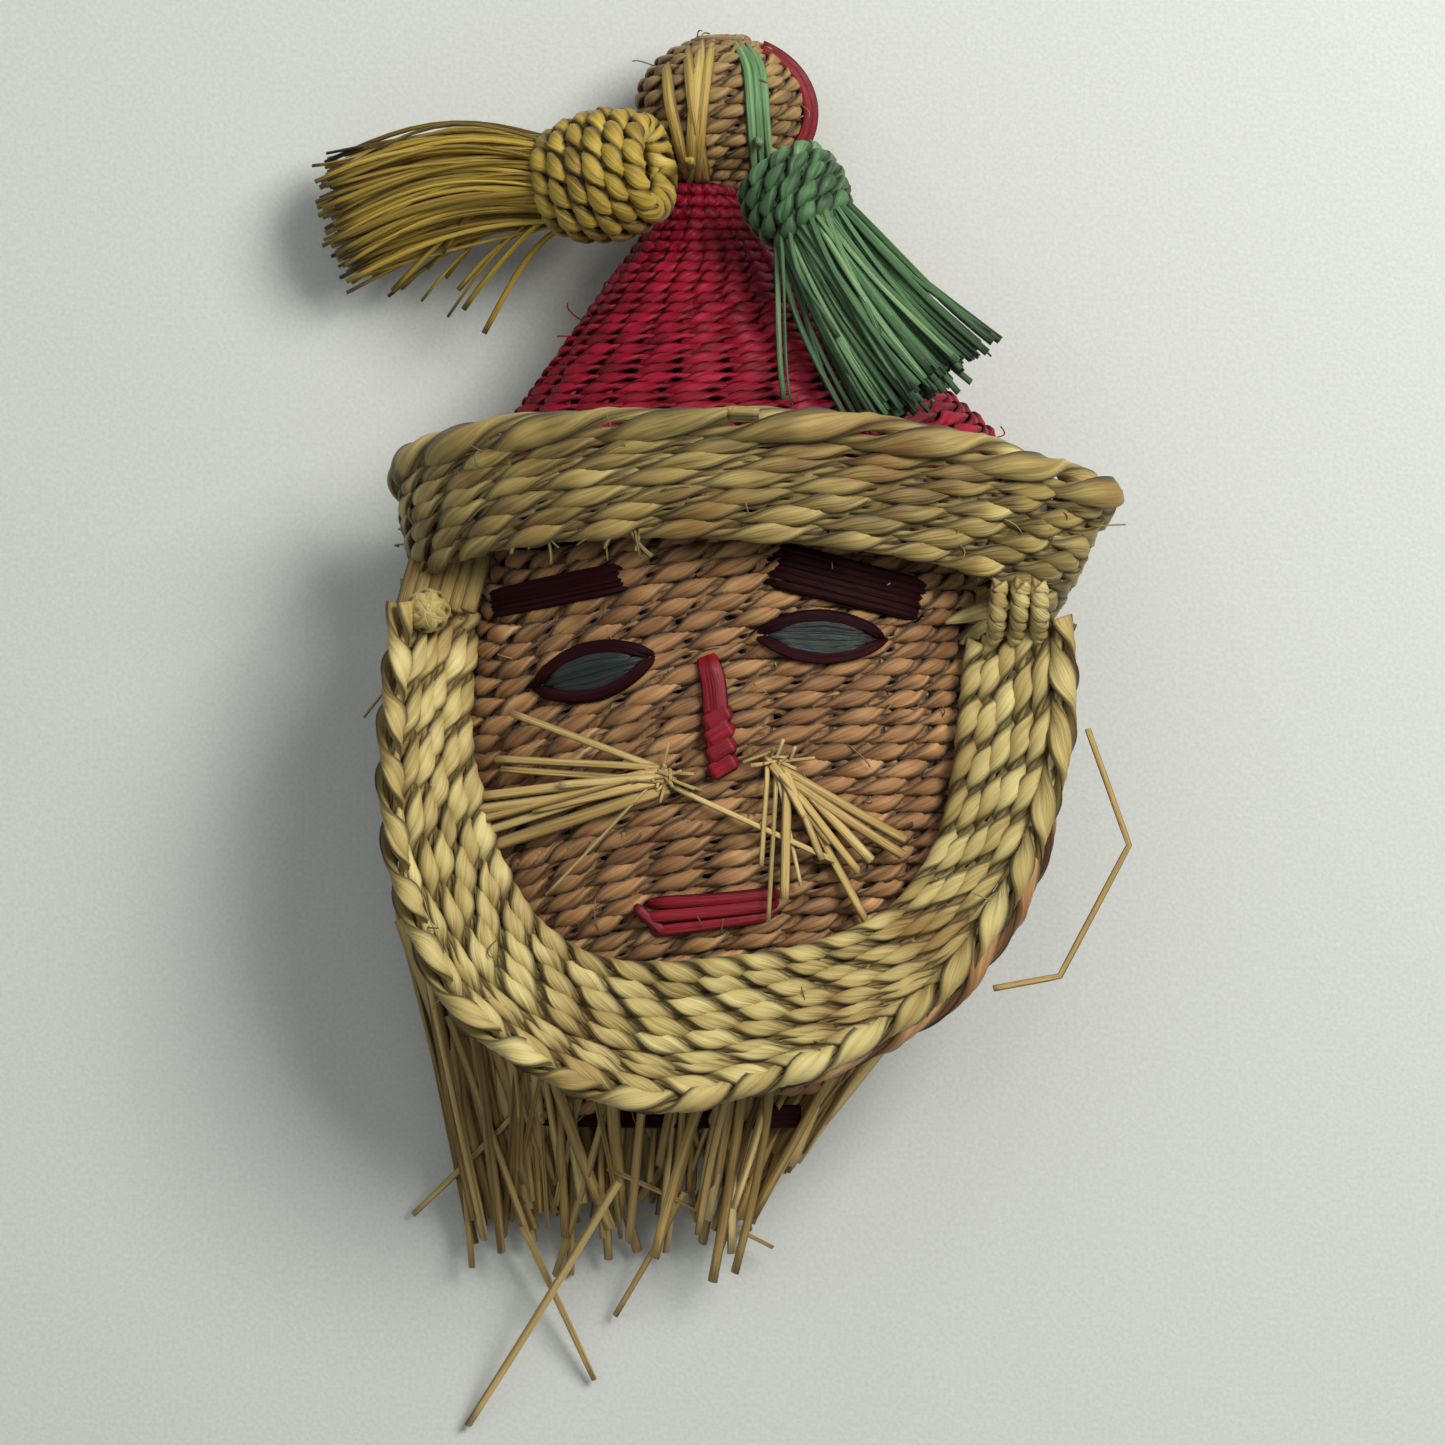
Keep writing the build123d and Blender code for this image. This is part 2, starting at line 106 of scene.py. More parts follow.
# ---- strands ------------------------------------------------------------------------------------
class Strands:
    """Collects closed tubes into one mesh, with a place along and round each strand and a tone."""

    def __init__(self):
        self.vertices = []
        self.quads = []
        self.caps = []
        self.places = []
        self.tones = []
        self.count = 0

    def tube(self, path, up, wide, thick, tone=0.5, sides=8, crease=0.09):
        rings = len(path)
        tangent = unit(np.gradient(path, axis=0))
        side = unit(np.cross(tangent, up))
        lift = np.cross(side, tangent)
        angle = 2 * np.pi * np.arange(sides) / sides
        ridge = 1 + crease * np.cos(3 * angle + random.uniform(0, 6.3))
        wide = np.broadcast_to(wide, rings)[:, None] * np.cos(angle) * ridge
        thick = np.broadcast_to(thick, rings)[:, None] * np.sin(angle) * ridge
        points = path[:, None] + side[:, None] * wide[..., None] + lift[:, None] * thick[..., None]
        index = self.count + np.arange(rings * sides).reshape(rings, sides)
        following = np.roll(index, -1, axis=1)
        quads = np.stack([index[:-1], following[:-1], following[1:], index[1:]], -1)
        self.vertices.append(points.reshape(-1, 3))
        self.quads.append(quads.reshape(-1, 4))
        self.caps.append(index[0][::-1].tolist())
        self.caps.append(index[-1].tolist())
        place = np.empty((rings, sides, 3))
        place[..., 0] = lengths(path)[:, None] * MM
        place[..., 1] = np.abs(angle / np.pi - 1)
        place[..., 2] = random.uniform()
        self.places.append(place.reshape(-1, 3))
        self.tones.append(np.repeat(np.broadcast_to(tone, rings), sides))
        self.count += rings * sides

    def fray(self, number, reach, radius=0.13):
        """Fine fibres that have come loose from strands already laid."""
        laid = np.concatenate(self.vertices)
        middle = laid.mean(axis=0)
        for start in laid[random.integers(0, len(laid), number)]:
            outward = unit(start - middle + vec(0, 0, 6.0))
            way = unit(random.normal(size=3) + 0.5 * outward) * reach * random.uniform(0.4, 1.3)
            bend = outward * 0.25 * reach
            share = np.linspace(0, 1, 6)[:, None]
            path = start + way * share + bend * np.sin(np.pi * share)
            path[:, 2] = np.maximum(path[:, 2], 0.4)
            self.tube(path, outward, radius, radius, 0.6 + 0.2 * random.normal(), 4, 0.0)

    def piece(self, name, finish, slot, body, *nodes):
        """Makes the mesh, parents it to its body's empty, and hides the CAD nodes that it stands for."""
        mesh = bpy.data.meshes.new(name)
        faces = np.concatenate(self.quads).tolist() + self.caps
        points = np.concatenate(self.vertices)
        points[:, 2] = np.maximum(points[:, 2], FLOOR_GAP)
        mesh.from_pydata((points * MM).tolist(), [], faces)
        place = mesh.attributes.new("strand", "FLOAT_VECTOR", "POINT")
        place.data.foreach_set("vector", np.concatenate(self.places).ravel())
        tone = mesh.attributes.new("tone", "FLOAT", "POINT")
        tone.data.foreach_set("value", np.concatenate(self.tones))
        mesh.polygons.foreach_set("use_smooth", [True] * len(mesh.polygons))
        mesh.materials.append(finish)
        mesh.update()
        piece = bpy.data.objects.new(name, mesh)
        bpy.context.scene.collection.objects.link(piece)
        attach(piece, body)
        if nodes:
            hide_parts(*nodes)
        return piece


def twine(strands, line, normal, across, phase, pitch, slant, flat=0.78, tone=0.5, sides=8, plump=1.0):
    """Two plies twisted round each other along a line on a wall, each a lens where it shows."""
    count = len(line)
    reach = pitch * (0.27 + 0.02 * wander(count, 9))
    shift = 0.04 * pitch * wander(count, 12)
    for ply in (0, 1):
        turn = phase + np.pi * ply
        turn = turn - 0.2 * np.sin(2 * turn)
        out = normal * np.cos(turn)[:, None] + across * (slant * np.sin(turn))[:, None]
        climb = across * (0.08 * slant * pitch * np.sin(turn))[:, None]
        bulge = normal * (0.16 * pitch * np.cos(turn))[:, None]
        path = line + bulge + climb + out * reach[:, None] + across * shift[:, None]
        stitch = np.floor(turn / (2 * np.pi) + 0.5).astype(int)
        each = random.normal(size=stitch.max() - stitch.min() + 1)[stitch - stitch.min()]
        # Painted shade: 0.26 * cos(turn) darkens each ply where it turns behind the row and lightens it where it lies
        # in front; 0.16 * each is a random tone for each stitch.
        shade = tone + 0.16 * each + 0.26 * np.cos(turn)
        size = 1 + 0.06 * smooth(each, 3) + 0.03 * wander(count, 4)
        wide = plump * pitch * (0.32 + 0.21 * np.cos(turn) ** 2) * size
        thick = flat * pitch * (0.31 - 0.04 * np.cos(turn) ** 2) * size
        strands.tube(path, out, wide, thick, smooth(shade, 1.2), sides)


def weave(strands, grid, stitches, slant=1, outward=1, drift=0.12, loose=0.25, flat=0.78, tone=0.5, sides=8,
          plump=1.0):
    """Twined rows over a grid of points (row, place, xyz), and the stakes that they hold."""
    rows, count = grid.shape[:2]
    along = unit(np.gradient(grid, axis=1))
    step = np.gradient(grid, axis=0)
    pitch = np.linalg.norm(step, axis=2)
    across = unit(step)
    normal = unit(np.cross(along, across)) * outward
    across = unit(np.cross(normal, along))
    turns = np.pi * stitches * np.arange(count) / (count - 1)
    for row in range(rows):
        phase = turns + np.pi * drift * row + random.normal() * loose + 0.2 * wander(count, 14)
        twine(strands, grid[row], normal[row], across[row], phase, pitch[row], slant, flat, tone, sides, plump)
    half = 0.4 * lengths(grid[rows // 2])[-1] / stitches
    for k in range(int(stitches)):
        at = min(int((k + 0.5) * count / stitches), count - 1)
        strands.tube(grid[:, at], normal[:, at], half, 0.3, tone - 0.3, 6)


# ---- the frame's shapes -------------------------------------------------------------------------
def corners(node):
    """A CAD node's own vertices, in millimetres."""
    mesh = frame["nodes"][node].data
    flat = np.empty(len(mesh.vertices) * 3)
    mesh.vertices.foreach_get("co", flat)
    return flat.reshape(-1, 3) / MM


class Tapered:
    """The smooth form behind a CAD node that is built of ellipses square to Y."""

    def __init__(self, node, softness):
        points = corners(node)
        levels = np.unique(points[:, 1].round(2))
        table = []
        for level in levels:
            ring = points[np.abs(points[:, 1] - level) < 0.05]
            right = ring[ring[:, 0].argmax()]
            middle = (ring[:, 0].min() + right[0]) / 2
            deep = ring[:, 2].max() - right[2]
            if min(right[0] - middle, deep) > 1.0:
                table.append((level, middle, right[0] - middle, right[2], deep))
        table = self.outermost(np.array(table))
        self.low, self.high = table[0, 0], table[-1, 0]
        self.levels = np.linspace(self.low, self.high, 240)
        spread = softness / (self.levels[1] - self.levels[0])
        line = np.stack([np.interp(self.levels, table[:, 0], column) for column in table.T[1:]], 1)
        self.line = smooth(line, spread)

    @staticmethod
    def outermost(table):
        """Drops the rings of an inner face, which lie inside the line of their neighbours."""
        keep = []
        for row in table:
            others = table[np.abs(table[:, 0] - row[0]) > 0.01]
            line = np.interp(row[0], others[:, 0], others[:, 2])
            if row[2] > line - 2.2 or row[0] in (table[0, 0], table[-1, 0]):
                keep.append(row)
        return np.array(keep)

    def at(self, y):
        """Centre x, half width, centre z and half depth at a height."""
        return [np.interp(y, self.levels, column) for column in self.line.T]

    def ring(self, y, angle, inset=0.0, floor=None):
        x, wide, z, deep = self.at(y)
        height = z + (deep - inset) * np.sin(angle)
        if floor is not None:
            height = np.maximum(height, floor)
        return np.stack([x + (wide - inset) * np.cos(angle), y + 0 * angle, height], -1)

    def front(self, x, y, lift=0.0):
        """Points over the front at given places, and the normals there."""
        x, y = np.broadcast_arrays(np.asarray(x, float), np.asarray(y, float))
        middle, wide, z, deep = self.at(y)
        share = np.clip((x - middle) / wide, -0.985, 0.985)
        rise = np.sqrt(1 - share**2)
        normal = unit(np.stack([share / wide, 0 * x, rise / deep], -1))
        points = np.stack([x, y, z + deep * rise], -1)
        return points + normal * np.asarray(lift)[..., None], normal


def round_grid(form, low, high, pitch, count, inset, floor=None, bow=None, overlap=0.02):
    """Rows round a tapered form, each beginning and ending at the back."""
    levels = np.linspace(low, high, 200)
    along = lengths(np.stack([levels, form.at(levels)[1]], 1))
    rows = int(round(along[-1] / pitch))
    angle = -np.pi / 2 + np.linspace(0, 2 * np.pi * (1 + overlap), count)
    grid = []
    for y in np.interp((np.arange(rows) + 0.5) / rows * along[-1], along, levels):
        line = form.ring(np.full(count, y), angle, inset, floor)
        if bow:
            level = y + bow(line[:, 0]) * np.clip(np.sin(angle) + 0.4, 0, 1)
            line = form.ring(level, angle, inset, floor)
        grid.append(line)
    return np.array(grid)


# ---- materials ----------------------------------------------------------------------------------
def linear(red, green, blue):
    """A colour given as 0 to 255 in the usual screen encoding."""
    channels = []
    for value in (red, green, blue):
        share = value / 255
        channels.append(share / 12.92 if share <= 0.04045 else ((share + 0.055) / 1.055) ** 2.4)
    return (*channels, 1.0)


def wire(tree, source, output, target, socket):
    tree.links.new(source.outputs[output], target.inputs[socket])


def ramp_node(tree, stops):
    node = tree.nodes.new("ShaderNodeValToRGB")
    while len(node.color_ramp.elements) < len(stops):
        node.color_ramp.elements.new(0.5)
    for element, (position, colour) in zip(node.color_ramp.elements, stops):
        element.position = position
        element.color = colour
    return node


def noise_node(tree, scale, detail):
    node = tree.nodes.new("ShaderNodeTexNoise")
    node.inputs["Scale"].default_value = scale
    node.inputs["Detail"].default_value = detail
    return node


def bast(name, shadow, middle, light, rough=0.55, depth=0.0003, sheen=0.1, stain=None, shine=0.3, edge_shade=0.9):
    """A plant-fibre strand: streaks along it, a tone for each stitch (which on twined rows carries painted shade), fine
    ridges, and painted shade darkening both long edges of each strand, where it meets its neighbours.
    """
    finish = bpy.data.materials.new(name)
    finish.use_nodes = True
    tree = finish.node_tree
    shader = tree.nodes["Principled BSDF"]
    shader.inputs["Sheen Weight"].default_value = sheen
    shader.inputs["Sheen Roughness"].default_value = 0.4
    shader.inputs["Specular IOR Level"].default_value = shine
    place = tree.nodes.new("ShaderNodeAttribute")
    place.attribute_name = "strand"
    stretch = tree.nodes.new("ShaderNodeMapping")
    stretch.inputs["Scale"].default_value = (70.0, 6.0, 83.0)
    wire(tree, place, "Vector", stretch, "Vector")
    streaks = noise_node(tree, 1.0, 5.0)
    wire(tree, stretch, "Vector", streaks, "Vector")
    fine = tree.nodes.new("ShaderNodeMapping")
    fine.inputs["Scale"].default_value = (190.0, 17.0, 83.0)
    wire(tree, place, "Vector", fine, "Vector")
    fibres = noise_node(tree, 1.0, 3.0)
    wire(tree, fine, "Vector", fibres, "Vector")
    tone = tree.nodes.new("ShaderNodeAttribute")
    tone.attribute_name = "tone"
    spread = tree.nodes.new("ShaderNodeMath")
    spread.operation = "MULTIPLY_ADD"
    spread.inputs[1].default_value = 1.1
    wire(tree, streaks, "Fac", spread, 0)
    wire(tree, tone, "Fac", spread, 2)
    fibre_part = tree.nodes.new("ShaderNodeMath")
    fibre_part.operation = "MULTIPLY_ADD"
    fibre_part.inputs[1].default_value = 0.5
    wire(tree, fibres, "Fac", fibre_part, 0)
    wire(tree, spread, "Value", fibre_part, 2)
    tint = ramp_node(tree, [(0.0, shadow), (0.5, middle), (1.0, light)])
    centred = tree.nodes.new("ShaderNodeMapRange")
    centred.inputs["From Min"].default_value = 0.55
    centred.inputs["From Max"].default_value = 2.05
    wire(tree, fibre_part, "Value", centred, "Value")
    wire(tree, centred, "Result", tint, "Fac")
    colour = tint
    if stain:
        where = tree.nodes.new("ShaderNodeTexCoord")
        patches = noise_node(tree, 55.0, 4.0)
        wire(tree, where, "Object", patches, "Vector")
        amount = ramp_node(tree, [(0.5, (0, 0, 0, 1)), (0.72, (0.75, 0.75, 0.75, 1))])
        wire(tree, patches, "Fac", amount, "Fac")
        colour = tree.nodes.new("ShaderNodeMix")
        colour.data_type = "RGBA"
        colour.inputs["B"].default_value = stain
        tree.links.new(amount.outputs["Color"], colour.inputs["Factor"])
        tree.links.new(tint.outputs["Color"], colour.inputs[6])
        colour.inputs[7].default_value = stain
        tree.links.new(colour.outputs[2], shader.inputs["Base Color"])
    else:
        wire(tree, tint, "Color", shader, "Base Color")
    # Painted shade: the colour is multiplied towards a near-black brown at both edges of each strand, in the creases
    # between neighbouring strands; the last argument of bast sets how strongly.
    edges = tree.nodes.new("ShaderNodeSeparateXYZ")
    wire(tree, place, "Vector", edges, "Vector")
    edge_shade_ramp = ramp_node(tree, [(0.0, (0.06, 0.04, 0.025, 1)), (0.28, (1, 1, 1, 1)),
                               (0.72, (1, 1, 1, 1)), (1.0, (0.06, 0.04, 0.025, 1))])
    wire(tree, edges, "Y", edge_shade_ramp, "Fac")
    edge_shaded = tree.nodes.new("ShaderNodeMix")
    edge_shaded.data_type = "RGBA"
    edge_shaded.blend_type = "MULTIPLY"
    edge_shaded.inputs[0].default_value = edge_shade
    tree.links.new(edge_shade_ramp.outputs["Color"], edge_shaded.inputs[7])
    source = shader.inputs["Base Color"].links[0].from_socket
    tree.links.new(source, edge_shaded.inputs[6])
    tree.links.new(edge_shaded.outputs[2], shader.inputs["Base Color"])
    gloss = tree.nodes.new("ShaderNodeMapRange")
    gloss.inputs["To Min"].default_value = rough - 0.12
    gloss.inputs["To Max"].default_value = rough + 0.15
    wire(tree, streaks, "Fac", gloss, "Value")
    wire(tree, gloss, "Result", shader, "Roughness")
    bump = tree.nodes.new("ShaderNodeBump")
    bump.inputs["Strength"].default_value = 0.9
    bump.inputs["Distance"].default_value = depth
    wire(tree, fibre_part, "Value", bump, "Height")
    wire(tree, bump, "Normal", shader, "Normal")
    return finish


STRAW = bast("straw", linear(60, 44, 16), linear(162, 140, 80), linear(216, 200, 134), 0.5,
             stain=linear(132, 94, 44))
BEARD_STRAW = bast("beard_straw", linear(84, 60, 26), linear(188, 156, 92), linear(226, 204, 142), 0.45, edge_shade=0.6)
BROWN = bast("bast_brown", linear(62, 34, 14), linear(168, 124, 78), linear(226, 190, 138), 0.6,
             stain=linear(120, 76, 40))
CRIMSON = bast("bast_crimson", linear(76, 4, 16), linear(152, 8, 40), linear(184, 28, 66), 0.45, sheen=0.0, edge_shade=0.6)
NATURAL = bast("bast_natural", linear(80, 56, 28), linear(162, 130, 80), linear(206, 180, 126), 0.6)
YELLOW = bast("bast_yellow", linear(86, 62, 14), linear(176, 148, 58), linear(214, 194, 104), 0.45)
PALE_YELLOW = bast("bast_pale_yellow", linear(90, 66, 24), linear(180, 150, 78), linear(216, 194, 122), 0.5)
YELLOW_FIBRE = bast("bast_yellow_fibre", linear(52, 36, 6), linear(180, 148, 48), linear(220, 192, 90), 0.5, edge_shade=0.6)
GREEN = bast("bast_green", linear(14, 30, 16), linear(84, 122, 78), linear(158, 188, 134), 0.5)
MAROON = bast("bast_maroon", linear(16, 2, 4), linear(34, 4, 7), linear(58, 14, 18), 0.6, sheen=0.0, shine=0.1)
TEAL = bast("bast_teal", linear(12, 14, 16), linear(32, 38, 36), linear(62, 74, 68), 0.45, sheen=0.0)
SCARLET = bast("bast_scarlet", linear(60, 2, 10), linear(122, 10, 26), linear(156, 34, 48), 0.45, sheen=0.0)
FILLING = bast("filling", linear(90, 70, 40), linear(150, 124, 80), linear(190, 168, 120), 0.8)
STAKE = bast("stake", linear(90, 66, 36), linear(150, 118, 72), linear(184, 156, 106), 0.6)


# ---- head, hat and pompom -----------------------------------------------------------------------
HEAD = Tapered("head_weave", 3.5)
HAT = Tapered("hat_weave", 3.0)
POMPOM = Tapered("pompom_weave", 1.0)
FACE_ROW = 2.65
HAT_ROW = 2.2


def face_bow(x):
    """How far a row of the face lies below its right-hand part at x."""
    return -np.clip(14.0 - x, 0, None) ** 2 / 330.0


def make_head():
    grid = round_grid(HEAD, HEAD.low + 2.5, HEAD.high - 2.0, FACE_ROW, 260, 1.5, 1.6, face_bow)
    half = len(grid) // 2
    for name, rows in (("chin", grid[: half + 1]), ("brow", grid[half:])):
        strands = Strands()
        weave(strands, rows, 29, drift=0.45, loose=0.9, sides=6, plump=1.1)
        strands.fray(70, 5.0)
        strands.piece(f"head_{name}_rows", BROWN, "bast_brown", "figure", "head_weave")


def make_hat():
    strands = Strands()
    grid = round_grid(HAT, HAT.low + 0.5, HAT.high + 0.5, HAT_ROW, 210, 1.1, 1.3)
    ribs = np.arange(grid.shape[1]) / (grid.shape[1] - 1) * 2 * np.pi * 17
    middle = grid.mean(axis=1, keepdims=True)
    grid = middle + (grid - middle) * (1 + 0.014 * np.cos(ribs))[None, :, None]
    grid[..., 2] = np.maximum(grid[..., 2], 1.3)
    weave(strands, grid, 24, slant=1, outward=1, drift=0.07, flat=0.75, sides=6, plump=1.25)
    strands.fray(60, 4.0)
    strands.piece("hat_rows", CRIMSON, "bast_crimson", "figure", "hat_weave")


def make_pompom():
    strands = Strands()
    grid = round_grid(POMPOM, POMPOM.low, POMPOM.high + 0.3, 2.3, 84, 1.4, 1.5)
    weave(strands, grid, 15, slant=1, outward=1, drift=0.5, flat=0.9)
    turn = np.linspace(0, 2 * np.pi * 1.8, 60)
    x, wide, z, deep = POMPOM.at(POMPOM.high)
    reach = np.linspace(0.8, wide + 0.6, 60)
    coil = np.stack([x + reach * np.cos(turn), POMPOM.high + 0.5 - 0.2 * reach, z + 0.9 * reach * np.sin(turn)], 1)
    strands.tube(coil, np.broadcast_to(vec(0, 1.0, 0), coil.shape), 1.3, 0.9, 0.45)
    strands.fray(30, 3.0)
    strands.piece("pompom_rows", NATURAL, "bast_natural", "figure", "pompom_weave")


# ---- brim ---------------------------------------------------------------------------------------
BRIM_ROWS = 6
BRIM_CORD_RADIUS = 2.3


def hoop(points):
    """Centre and the two half-axes, as vectors, of a ring of points."""
    centre = (points.max(axis=0) + points.min(axis=0)) / 2
    right = points[points[:, 0].argmax()] - centre
    top = points[points[:, 2].argmax()] - centre
    return centre, right, top


def brim_hoops():
    """The brim's lower and upper outer edges, as hoops."""
    points = corners("brim_band")
    sides = np.linalg.svd(points - points.mean(axis=0))[2]
    axis = sides[np.abs(sides[:, 1]).argmax()]
    axis = axis * np.sign(axis[1])
    height = points @ axis
    split = (height.min() + height.max()) / 2
    return hoop(points[height < split]), hoop(points[height > split])


def make_brim():
    (low, low_right, low_top), (high, high_right, high_top) = brim_hoops()
    count = 360
    angle = -np.pi / 2 + np.linspace(0, 2 * np.pi * 1.02, count)
    across = np.cos(angle)[:, None]
    upward = np.sin(angle)[:, None]
    edges = []
    for centre, right, top, inset in ((low, low_right, low_top, -1.2), (high, high_right, high_top, 1.5)):
        right = right * (1 - inset / np.linalg.norm(right))
        top = top * (1 - inset / np.linalg.norm(top))
        edges.append(centre + right * across + top * upward)
    lower, upper = edges
    corner = np.exp(-((np.degrees(angle) - 14) / 9) ** 2)[:, None]
    grid = []
    for row in range(BRIM_ROWS):
        share = (row + 0.5) / BRIM_ROWS
        bulge = 0.8 * np.sin(np.pi * share)
        line = lower + (upper - lower) * share
        outward = unit(line - line.mean(axis=0))
        grid.append(line + outward * (bulge + 2.4 * corner * share))
    grid = np.array(grid)
    grid[..., 2] = np.maximum(grid[..., 2], 1.7)
    strands = Strands()
    weave(strands, grid, 25, slant=1, outward=1, drift=0.3, flat=0.95, tone=0.5, sides=10, plump=1.18)
    strands.fray(60, 5.0)
    for _ in range(11):
        spot = lower[np.abs(lower[:, 0] - random.uniform(-34.0, -12.0)) + 1e3 * (lower[:, 2] < 30.0) < 1.5]
        if len(spot):
            root = spot[0] + vec(0, 1.2, 0.6)
            straw(strands, root, root + vec(random.normal() * 2.0, random.uniform(-5.0, -1.0), 0.6), random.uniform(0.2, 0.4), 0.4, tone=0.2)
    strands.piece("brim_rows", STRAW, "straw", "figure", "brim_band")
    rise = unit(upper - lower)
    outward = unit(upper - upper.mean(axis=0))
    line = upper + rise * 2.2 + outward * (2.6 * corner + 0.3 * wander(count, 12)[:, None])
    line[:, 2] = np.maximum(line[:, 2], 2.6)
    normal = unit(np.cross(unit(np.gradient(line, axis=0)), rise))
    strands = Strands()
    phase = np.pi * 17 * np.linspace(0, 1, count)
    twine(strands, line, normal, rise, phase, np.full(count, 2 * BRIM_CORD_RADIUS), 1, 0.95, 0.55)
    knob = line[np.abs(line[:, 0] - 3.0) + 1e3 * (line[:, 2] < 40.0) < 2.6] + vec(0, 1.6, 0.4)
    strands.tube(knob, np.broadcast_to(vec(0, 1.0, 0.3), knob.shape), 1.6, 1.2, 0.4)
    strands.piece("brim_cord", STRAW, "straw", "figure", "brim_top_cord")


# ---- collar -------------------------------------------------------------------------------------
COLLAR_CENTRE = (-1.5, -3.0)
COLLAR_FROM, COLLAR_TO = 163.0, 377.0  # degrees round the face, from temple to temple
COLLAR_ROWS = 6
CHIN_ROWS = 2  # rows that run only round the chin
SKY = 80.0


def collar_edges(count):
    """Where the collar's top face begins and ends at each angle, by looking down on it."""
    node = frame["nodes"]["beard_collar"]
    tree = BVHTree.FromObject(node, bpy.context.evaluated_depsgraph_get())
    angles = np.radians(np.linspace(COLLAR_FROM, COLLAR_TO, count))
    inner, outer = [], []
    for angle in angles:
        hits = []
        for radius in np.arange(28.0, 66.0, 0.4):
            x = COLLAR_CENTRE[0] + radius * np.cos(angle)
            y = COLLAR_CENTRE[1] + radius * np.sin(angle)
            found = tree.ray_cast(Vector((x, y, SKY)) * MM, Vector((0, 0, -1)))[0]
            if found:
                hits.append(np.array(found) / MM)
        inner.append(hits[0])
        outer.append(hits[-1])
    return smooth(np.array(inner), count / 40), smooth(np.array(outer), count / 40)


def lengthened(edge, before, after):
    """An edge carried on at both ends, in as many points as before."""
    first = edge[0] + unit(edge[0] - edge[12]) * before
    last = edge[-1] + unit(edge[-1] - edge[-13]) * after
    line = np.concatenate([[first], edge, [last]])
    along = lengths(line)
    at = np.linspace(0, along[-1], len(edge))
    return np.stack([np.interp(at, along, column) for column in line.T], 1)


def make_collar():
    count = 280
    inner, outer = collar_edges(count)
    inner = lengthened(inner, 11.0, 5.0)
    outer = lengthened(outer, 9.0, 5.0)
    share = np.linspace(0, 1, count)
    chin = 1 / (1 + np.exp(-(share - 0.24) / 0.03)) * 1 / (1 + np.exp((share - 0.76) / 0.03))
    total = COLLAR_ROWS + CHIN_ROWS * chin
    normal = unit(np.cross(np.gradient(inner, axis=0), outer - inner))
    normal *= np.sign(normal[:, 2:3])
    grid = []
    for row in range(COLLAR_ROWS + CHIN_ROWS):
        extra = max(row - COLLAR_ROWS + 1, 0)
        before = min(row, COLLAR_ROWS - 1) + np.clip(extra - 0.5, 0, None) * chin + 0.5 * (extra == 0)
        middle = before + (0.5 if extra else 0)
        spot = (middle / total)[:, None]
        grid.append(inner + (outer - inner) * spot - normal * (1.3 + 0.8 * np.sin(np.pi * spot)))
    grid = np.array(grid)
    strands = Strands()
    weave(strands, grid, 23, slant=-1, outward=-1, drift=0.06, loose=0.4, flat=1.0, tone=0.5, sides=10, plump=1.18)
    strands.fray(30, 4.0)
    strands.piece("collar_rows", STRAW, "straw", "figure", "beard_collar")
    strands = Strands()
    out = unit(outer - inner)
    line = outer - out * 0.7 - normal * 1.4
    phase = np.pi * 22 * share + 0.3 * wander(count, 8)
    twine(strands, line, normal, out, phase, np.full(count, 3.0), -1, 0.9, 0.5, plump=1.3)
    strands.piece("collar_rim", STRAW, "straw", "figure", "collar_rim_cord")
    strands = Strands()
    part = slice(int(0.56 * count), int(0.86 * count))
    fade = np.sin(np.pi * np.linspace(0, 1, part.stop - part.start)) ** 0.4
    line = outer[part] + out[part] * (1.4 * fade - 0.9)[:, None] - normal[part] * 4.0
    phase = np.pi * 16 * share[part]
    twine(strands, line, normal[part], out[part], phase, 1.4 + 2.8 * fade, -1, 1.0, 0.4)
    strands.piece("collar_back_cord", BROWN, "bast_brown", "figure", "collar_rim_cord")


# ---- face ---------------------------------------------------------------------------------------
def sewn(strands, points, wide, thick, lift=0.5, tone=0.5, tuck=2.2, sides=8):
    """A strand laid over the face through (x, y) points, its ends tucked into the weave."""
    flat = curve([(x, y, 0.0) for x, y in points], 26)
    end = np.minimum(np.linspace(0, 1, 26), np.linspace(1, 0, 26)) * 26 / 4
    rise = lift - tuck * np.clip(1 - end, 0, 1) ** 2
    path, normal = HEAD.front(flat[:, 0], flat[:, 1], rise)
    shape = 0.55 + 0.45 * np.clip(end, 0, 1) ** 0.6
    strands.tube(path, normal, wide * shape, thick, tone + 0.06 * wander(26, 4), sides)


def side_by_side(strands, start, end, width, number, lift=0.5, bow=0.0, tone=0.5):
    """Several strands laid together from one point to another."""
    start, end = vec(*start), vec(*end)
    square = unit(vec(start[1] - end[1], end[0] - start[0]))
    half = width / number / 2 + 0.2
    for k in range(number):
        shift = (k - (number - 1) / 2) * width / number
        ends = shift * (1 + 0.1 * random.normal(size=2))
        middle = (start + end) / 2 + square * (shift + bow)
        points = [start + square * ends[0], middle, end + square * ends[1]]
        sewn(strands, points, half * 1.12, 0.75, lift, tone + 0.12 * random.normal())


